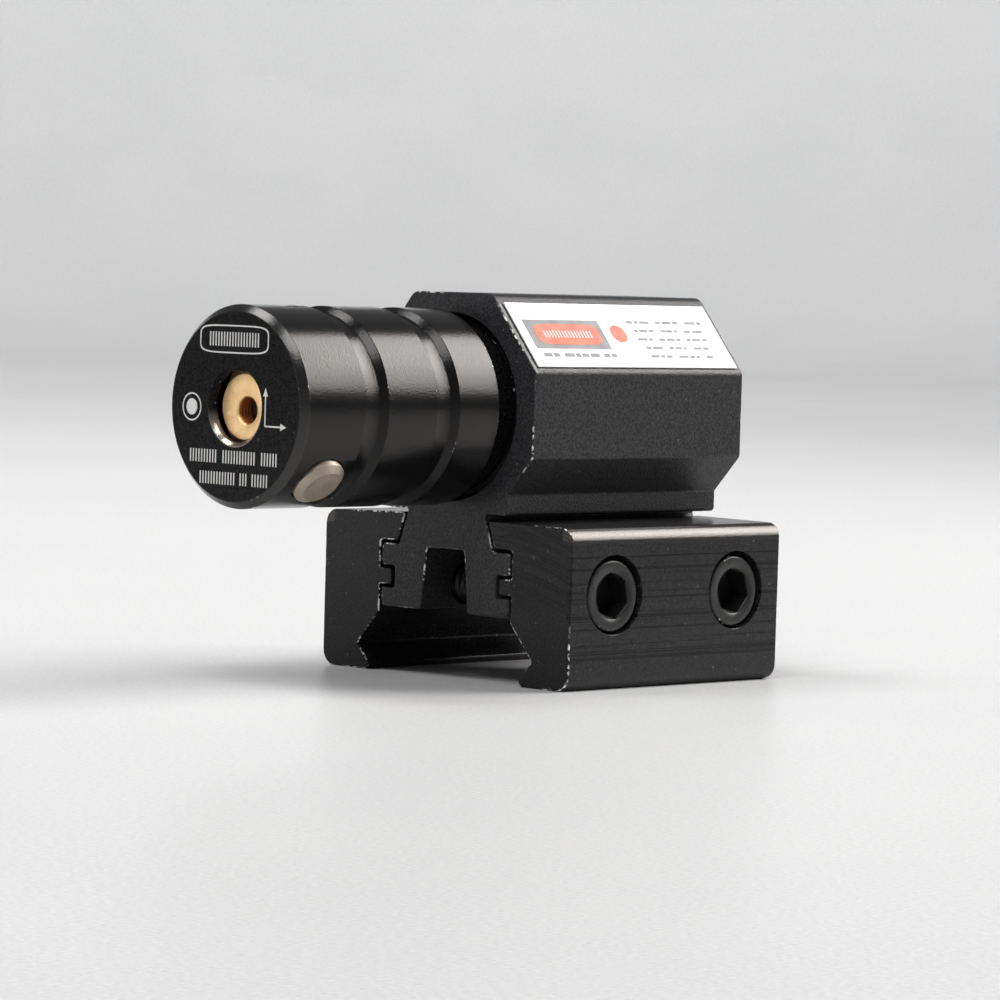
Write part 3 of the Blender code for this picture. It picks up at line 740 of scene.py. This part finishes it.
def make_jaws():
    y_from, y_to = JAW_LOW.y, JAW_HIGH.y
    right = prism("right_jaw_fine", jaw_outline(14.82), y_from, y_to, jaw_black)
    left = prism("left_jaw_fine", mirrored(jaw_outline(15.02)), y_from, y_to, jaw_black)
    seats, ways = [], []
    for node in CLAMP_SCREWS:
        at = middle(node)
        seats.append(rod(node + "_seat", 3.62 * MM, (12.1 * MM, at.y, at.z + 0.12 * MM),
                         (1, 0, 0), 4.06 * MM, sides=128, chamfer=0.07 * MM))
        seats.append(rod(node + "_pass", CLAMP_HOLE, (5.0 * MM, at.y, at.z), (1, 0, 0),
                         8.0 * MM))
        ways.append(threaded_rod(node + "_tap", CLAMP_HOLE, 13.0 * MM, THREAD_PITCH, 0.2 * MM,
                                 None, Vector((-18.0 * MM, at.y, at.z)), (1, 0, 0)))
    carve(right, *seats)
    carve(left, *ways)
    keep(right, "right_jaw", "right_jaw", slot="black_milled")
    keep(left, "frame", "left_jaw", slot="black_milled")


def make_clamp_screws():
    for node, spin in zip(CLAMP_SCREWS, (12.0, 16.0)):
        low, high = (Vector(c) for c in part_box(node))
        at = middle(node)
        head = turned(node + "_head", in_mm([
            (0, 3.58, 0), (3.27, 3.58, 0.22), (3.27, 0, 0.1), (0, 0, 0)]), screw_black,
            centre=(high.x - 3.70 * MM, at.y, at.z), direction=(1, 0, 0), steps=128, arc=5)
        face_x = high.x - 0.12 * MM
        key = rod(node + "_key", 2.13 * MM, (face_x - 2.3 * MM, at.y, at.z), (1, 0, 0), 2.6 * MM,
                  sides=6, spin=math.radians(spin))
        sink = turned(node + "_sink", in_mm([
            (0, 0.2, 0), (2.6, 0.2, 0), (1.84, -0.2, 0), (0, -0.2, 0)]), None,
            centre=(face_x, at.y, at.z), direction=(1, 0, 0), steps=96)
        carve(head, key, sink)
        keep(head, node, node, slot="blackened_steel")
        shank = threaded_rod(node + "_shank", 1.8 * MM, high.x - 3.6 * MM - low.x,
                             THREAD_PITCH, 0.24 * MM, screw_black,
                             Vector((low.x, at.y, at.z)), (1, 0, 0))
        keep(shank, node, slot="blackened_steel")


# ---- tail cap and button -------------------------------------------------------------
def make_tail():
    centre = (0, FRONT_Y, AXIS_Z)
    teeth = 60
    depth = 0.16 * MM

    def knurl(radius, height, angle):
        on_rim = radius > 8.45 * MM and 28.9 * MM < height < 30.25 * MM
        return radius - (depth * (0.5 + 0.5 * math.cos(teeth * angle)) if on_rim else 0.0)

    cap = turned("tail_cap_fine", in_mm([
        (8.25, 30.6, 0.15), (8.6, 30.25, 0.01), (8.6, 30.2, 0.01), (8.6, 29.0, 0.01),
        (8.6, 28.9, 0.01), (8.6, 28.6, 0.1), (8.4, 28.4, 0.1), (7.3, 28.4, 0.1), (7.3, 27.3, 0.1),
        (7.6, 27.2, 0.1), (7.6, 24.9, 0.05), (7.4, 24.7, 0.05), (5.9, 24.7, 0.1), (5.9, 29.2, 0.1),
        (3.7, 29.2, 0.1), (3.7, 30.6, 0.2)]), barrel_black, centre, steps=480, shape=knurl)
    keep(cap, "tail_cap", "tail_cap", slot="black_turned")
    button = turned("push_button_fine", in_mm([
        (0, 32.0, 0), (2.9, 31.85, 0.5), (3.4, 31.2, 0.4), (3.4, 28.9, 0.1), (5.2, 28.9, 0.1),
        (5.2, 28.1, 0.1), (0, 28.1, 0)]), rubber, centre, steps=96, arc=6)
    keep(button, "push_button", "push_button", slot="black_rubber")
    ring = []
    for k in range(16):
        angle = -2.0 * math.pi * k / 16 + math.pi / 2.0
        ring.append((8.0 + 0.35 * math.cos(angle), 27.75 + 0.35 * math.sin(angle), 0.01))
    seal = turned("o_ring_fine", in_mm(ring), rubber, centre, steps=128, arc=1)
    keep(seal, "tail_seal", "tail_cap_o_ring", slot="black_rubber")


# ---- label ---------------------------------------------------------------------------
def make_label():
    """A film on the housing's slope, its printed marks, and the worn edge beside it."""
    low, high = (Vector(c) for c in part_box("label"))
    (top_x, top_z), (side_x, side_z) = TOP_CORNER, SIDE_CORNER
    down = Vector((side_x - top_x, 0.0, side_z - top_z)).normalized()
    along = Vector((0.0, 1.0, 0.0))
    out = along.cross(-down)
    front = Vector((top_x * MM, low.y, top_z * MM)) + down * 4.84 * MM + out * 0.045 * MM
    length = (high.y - low.y) / MM
    origin = front + along * (length / 2.0 * MM)
    sheet = Marks(origin, along, -down, thickness=0.13 * MM)
    sheet.block(0, 0, length, 7.34)
    keep(sheet.piece("label_sheet", film), "frame", "label", slot="label_film")

    surface = origin + out * 0.132 * MM
    start = -length / 2.0
    grey = Marks(surface, along, -down)
    grey.block(start + 5.95, 0.05, 9.9, 3.35)
    lines = ([0.9, 0.5, 1.3, -0.5, 0.7, 1.2, 0.8, -0.5, 1.5, 0.6],
             [0.5, 1.1, 0.7, -0.5, 1.6, 0.5, -0.5, 0.9, 1.4],
             [1.3, 0.5, -0.5, 0.8, 1.1, 0.6, -0.5, 0.5, 1.2, 0.7],
             [0.7, 1.4, -0.5, 0.6, 0.9, 0.5, -0.5, 1.1, 0.8],
             [1.1, 0.6, 0.8, -0.5, 1.3, 0.7, 0.5, -0.5, 0.9])
    for k, widths in enumerate(lines):
        grey.row(start + 19.9, 1.6 - k * 1.0, widths, 0.30, 0.2)
    grey.row(start + 6.25, -2.35, [1.1, 0.8, -0.2, 1.3, 0.6, 0.9, 1.2, -0.2, 0.8, 0.7], 0.42,
             0.2)
    keep(grey.piece("label_grey", grey_ink), "frame", slot="label_film")
    coral = Marks(surface + out * FILM, along, -down)
    coral.lozenge(start + 6.05, 0.05, 4.2, 1.2, power=5.0)
    coral.lozenge(start + 12.9, 0.2, 1.0, 1.0)
    keep(coral.piece("label_coral", coral_ink), "frame", slot="label_film")
    pale = Marks(surface + out * FILM * 2.0, along, -down)
    pale.row(start + 6.05, 0.05, [0.18] * 16, 0.8, 0.22)
    keep(pale.piece("label_pale", white_ink), "frame", slot="label_film")

    # a strip where the housing's black has worn off along its front edge
    slope, shift, inner, outer, steps = 8.0, -0.35, 0.09, 0.42, 60
    corner = front - out * 0.043 * MM
    strip = Marks((corner.x, FRONT_Y, corner.z), along, -down)
    outline = [(inner, shift - slope / 2.0)]
    for k in range(steps + 1):
        v = slope * (k / steps - 0.5) + shift
        ripple = (0.06 * math.sin(5.1 * v + 0.4) + 0.05 * math.sin(11.7 * v)
                  + 0.03 * math.sin(23.0 * v))
        outline.append((outer + ripple, v))
    outline.append((inner, shift + slope / 2.0))
    strip.solid(outline)
    keep(strip.piece("worn_edge", bare_edge), "frame", slot="black_extrusion")


# ---- pieces that keep their CAD shape ------------------------------------------------
INNER = {
    "elevation_pad": nylon, "windage_pad": nylon, "plunger_pin": steel, "plunger_spring": wire,
    "pivot_ring": nylon, "module_body": brass, "collimating_lens": glass, "laser_diode": steel,
    "lens_spring": wire, "driver_board": green_board, "front_contact_spring": wire,
    "battery_sleeve": pale_plastic, "button_cell_1": nickel, "button_cell_2": nickel,
    "button_cell_3": nickel, "battery_spring": wire, "switch_body": dark_plastic,
    "button_spring": wire,
}


def dress_inner():
    """Give the inner parts that keep their CAD shape a material each."""
    for node, mat in INNER.items():
        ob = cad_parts[node]
        ob.data.materials.clear()
        ob.data.materials.append(mat)


# ---- studio --------------------------------------------------------------------------
def make_stage():
    """A round pale floor that sweeps up into a wall."""
    s = Shader("pale_floor")
    cloud = s.noise(14.0, 3.0)
    speckle = s.noise(2300.0, 2.0)
    base = s.mix(s.ramp(cloud, 0.3, 0.7), (0.565, 0.567, 0.572), (0.59, 0.59, 0.593))
    base = s.mix(s.ramp(speckle, 0.52, 0.74), base, (0.65, 0.65, 0.65))
    base = s.mix(s.ramp(speckle, 0.46, 0.28), base, (0.51, 0.51, 0.514))
    mat = s.finish(Base_Color=base, Roughness=0.38, Normal=s.bump(speckle, 0.000009))
    floor_r, sweep_r, wall, bends, sides = 1.3, 0.5, 0.52, 12, 96
    profile = [(floor_r, 0.0)]
    for k in range(1, bends + 1):
        angle = math.pi / 2.0 * k / bends
        profile.append((floor_r + sweep_r * math.sin(angle), sweep_r * (1.0 - math.cos(angle))))
    profile.append((floor_r + sweep_r, wall))
    bm = bmesh.new()
    rings = [[bm.verts.new(at) for at in circle(radius, height, sides)]
             for radius, height in profile]
    bm.faces.new(rings[0])
    for a, b in zip(rings, rings[1:]):
        bridge(bm, a, b)
    stage = to_object("stage", bm, mat, sharp=60.0, weighted=False)


def softbox(name, centre, size, power, aim=(0, 0, 0.02), lengthwise=(1, 0, 0), spread=180.0,
            colour=(1, 1, 1)):
    """Rectangular light turned toward a point, its long side along a direction."""
    light = bpy.data.lights.new(name, "AREA")
    light.shape = "RECTANGLE"
    light.size, light.size_y = size
    light.energy = power
    light.spread = math.radians(spread)
    light.color = colour
    ob = bpy.data.objects.new(name, light)
    bpy.context.scene.collection.objects.link(ob)
    centre = Vector(centre)
    away = (centre - Vector(aim)).normalized()
    side = Vector(lengthwise)
    side = (side - away * side.dot(away)).normalized()
    turn = Matrix((side, away.cross(side), away)).transposed().to_4x4()
    ob.matrix_world = Matrix.Translation(centre) @ turn
    ob.visible_camera = False


def make_lights():
    softbox("key", (0.37, 0.735, 0.575), (0.95, 0.32), 3.15, lengthwise=(0.8, 0.0, -0.52),
            spread=75.0, colour=(1.0, 0.975, 0.95))
    softbox("overhead", (-0.50, -0.34, 1.06), (0.42, 0.42), 6.3)
    softbox("front_top", (0.37, -0.72, 1.28), (0.65, 0.65), 11.2)
    softbox("backdrop", (0.3, -0.3, 1.5), (0.8, 0.8), 9.6, aim=(-1.4, 1.4, 0.25), spread=80.0)
    softbox("front_wall", (-0.5, -0.5, 1.2), (0.6, 0.6), 6.0, aim=(-1.3, -1.3, 0.1), spread=90.0)
    softbox("front_bounce", (-0.17, -0.17, 0.36), (0.10, 0.10), 0.42, aim=(-0.17, -0.17, 0.0),
            spread=50.0)
    world = bpy.data.worlds.new("studio")
    bpy.context.scene.world = world
    world.use_nodes = True
    background = world.node_tree.nodes["Background"]
    background.inputs["Color"].default_value = (0.80, 0.80, 0.81, 1.0)
    background.inputs["Strength"].default_value = 0.25


VIEW_AZIMUTH = math.radians(44.84)
VIEW_ELEVATION = math.radians(2.90)
VIEW_ROLL = math.radians(1.667)
VIEW_DISTANCE = 414.6 * MM
VIEW_TARGET = Vector((3.47, 0.61, 16.55)) * MM
LENS_MM = 162.5


def make_camera():
    camera = bpy.data.cameras.new("camera")
    camera.lens = LENS_MM
    camera.sensor_width = 36.0
    camera.clip_start = 0.01
    ob = bpy.data.objects.new("camera", camera)
    bpy.context.scene.collection.objects.link(ob)
    flat = math.cos(VIEW_ELEVATION)
    back = Vector((math.sin(VIEW_AZIMUTH) * flat, -math.cos(VIEW_AZIMUTH) * flat,
                   math.sin(VIEW_ELEVATION)))
    right = Vector((math.cos(VIEW_AZIMUTH), math.sin(VIEW_AZIMUTH), 0.0))
    up = back.cross(right)
    c, s = math.cos(VIEW_ROLL), math.sin(VIEW_ROLL)
    tilted_right = right * c + up * s
    tilted_up = up * c - right * s
    turn = Matrix((tilted_right, tilted_up, back)).transposed().to_4x4()
    ob.matrix_world = Matrix.Translation(VIEW_TARGET + back * VIEW_DISTANCE) @ turn
    bpy.context.scene.camera = ob


make_housing()
make_barrel()
make_adjusters()
make_plug()
make_nose()
make_jaws()
make_clamp_screws()
make_tail()
make_label()
dress_inner()
make_stage()
make_lights()
make_camera()
bpy.context.scene.view_settings.view_transform = "Standard"
